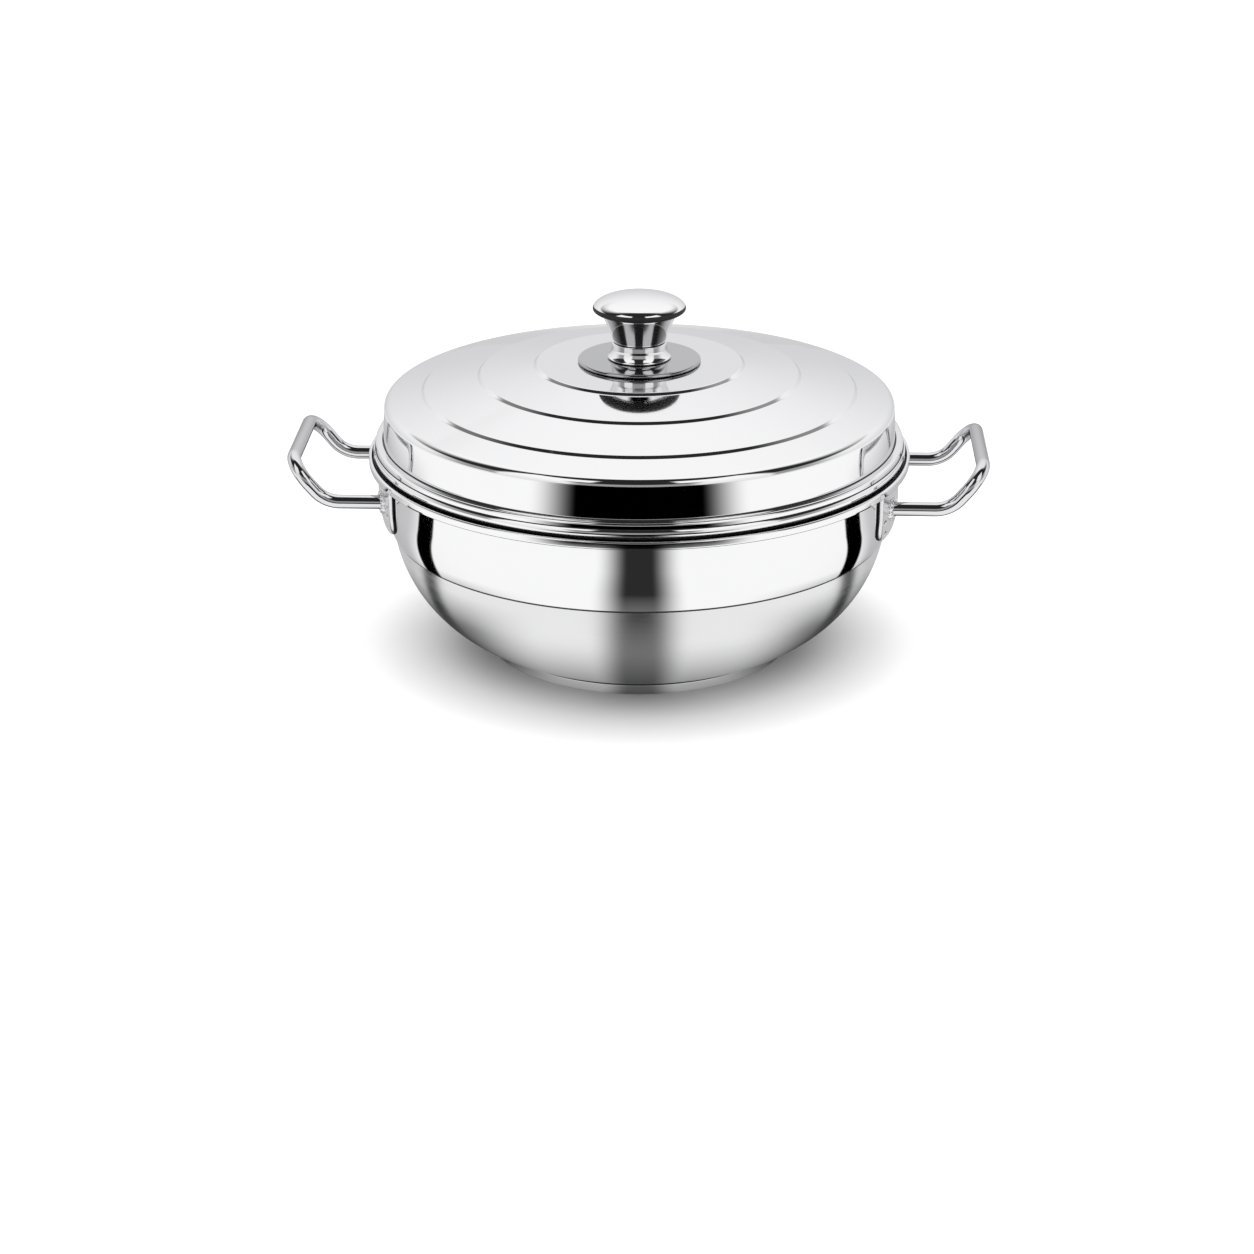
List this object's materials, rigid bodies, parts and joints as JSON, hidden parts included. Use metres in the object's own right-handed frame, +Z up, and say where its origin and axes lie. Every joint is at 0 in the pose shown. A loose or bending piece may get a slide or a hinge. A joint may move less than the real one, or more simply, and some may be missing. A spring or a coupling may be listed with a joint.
{
  "type": "kadai",
  "caption": "Covered stainless steel kadai: stepped bowl on a sandwich base, bent wire handles on tongue brackets, and a lift-off ringed lid with a flared knob.",
  "frame": {"origin": "middle of the base's underside, where the kadai stands on the stove", "axes": "+Z up along the bowl's axis, +X towards the right-hand handle, +Y away from the viewer"},
  "size_m": [0.3526, 0.2748, 0.1845],
  "materials": {
    "mirror_steel": "mirror-polished stainless steel, not plated",
    "satin_steel": "satin stainless steel, brushed round the axis",
    "aluminium_core": "bare rolled aluminium, sealed inside the base",
    "plated_steel": "zinc-plated steel"
  },
  "bodies": {
    "bowl": {"bowl_shell": "mirror_steel", "base_core": "aluminium_core", "base_capsule": "satin_steel", "handle_left": "mirror_steel", "handle_right": "mirror_steel", "bracket_left_front": "satin_steel", "bracket_left_back": "satin_steel", "bracket_right_front": "satin_steel", "bracket_right_back": "satin_steel"},
    "lid": {"lid_shell": "mirror_steel", "knob_saucer": "mirror_steel", "knob_collar": "mirror_steel", "knob_cup": "mirror_steel", "knob_cap": "mirror_steel", "knob_insert": "plated_steel", "knob_washer": "plated_steel", "knob_screw": "plated_steel"}
  },
  "joints": [
    {"name": "lid_lift", "type": "slide", "parent": "bowl", "child": "lid", "axis": [0, 0, 1], "range_m": [0, 0.15]}
  ]
}
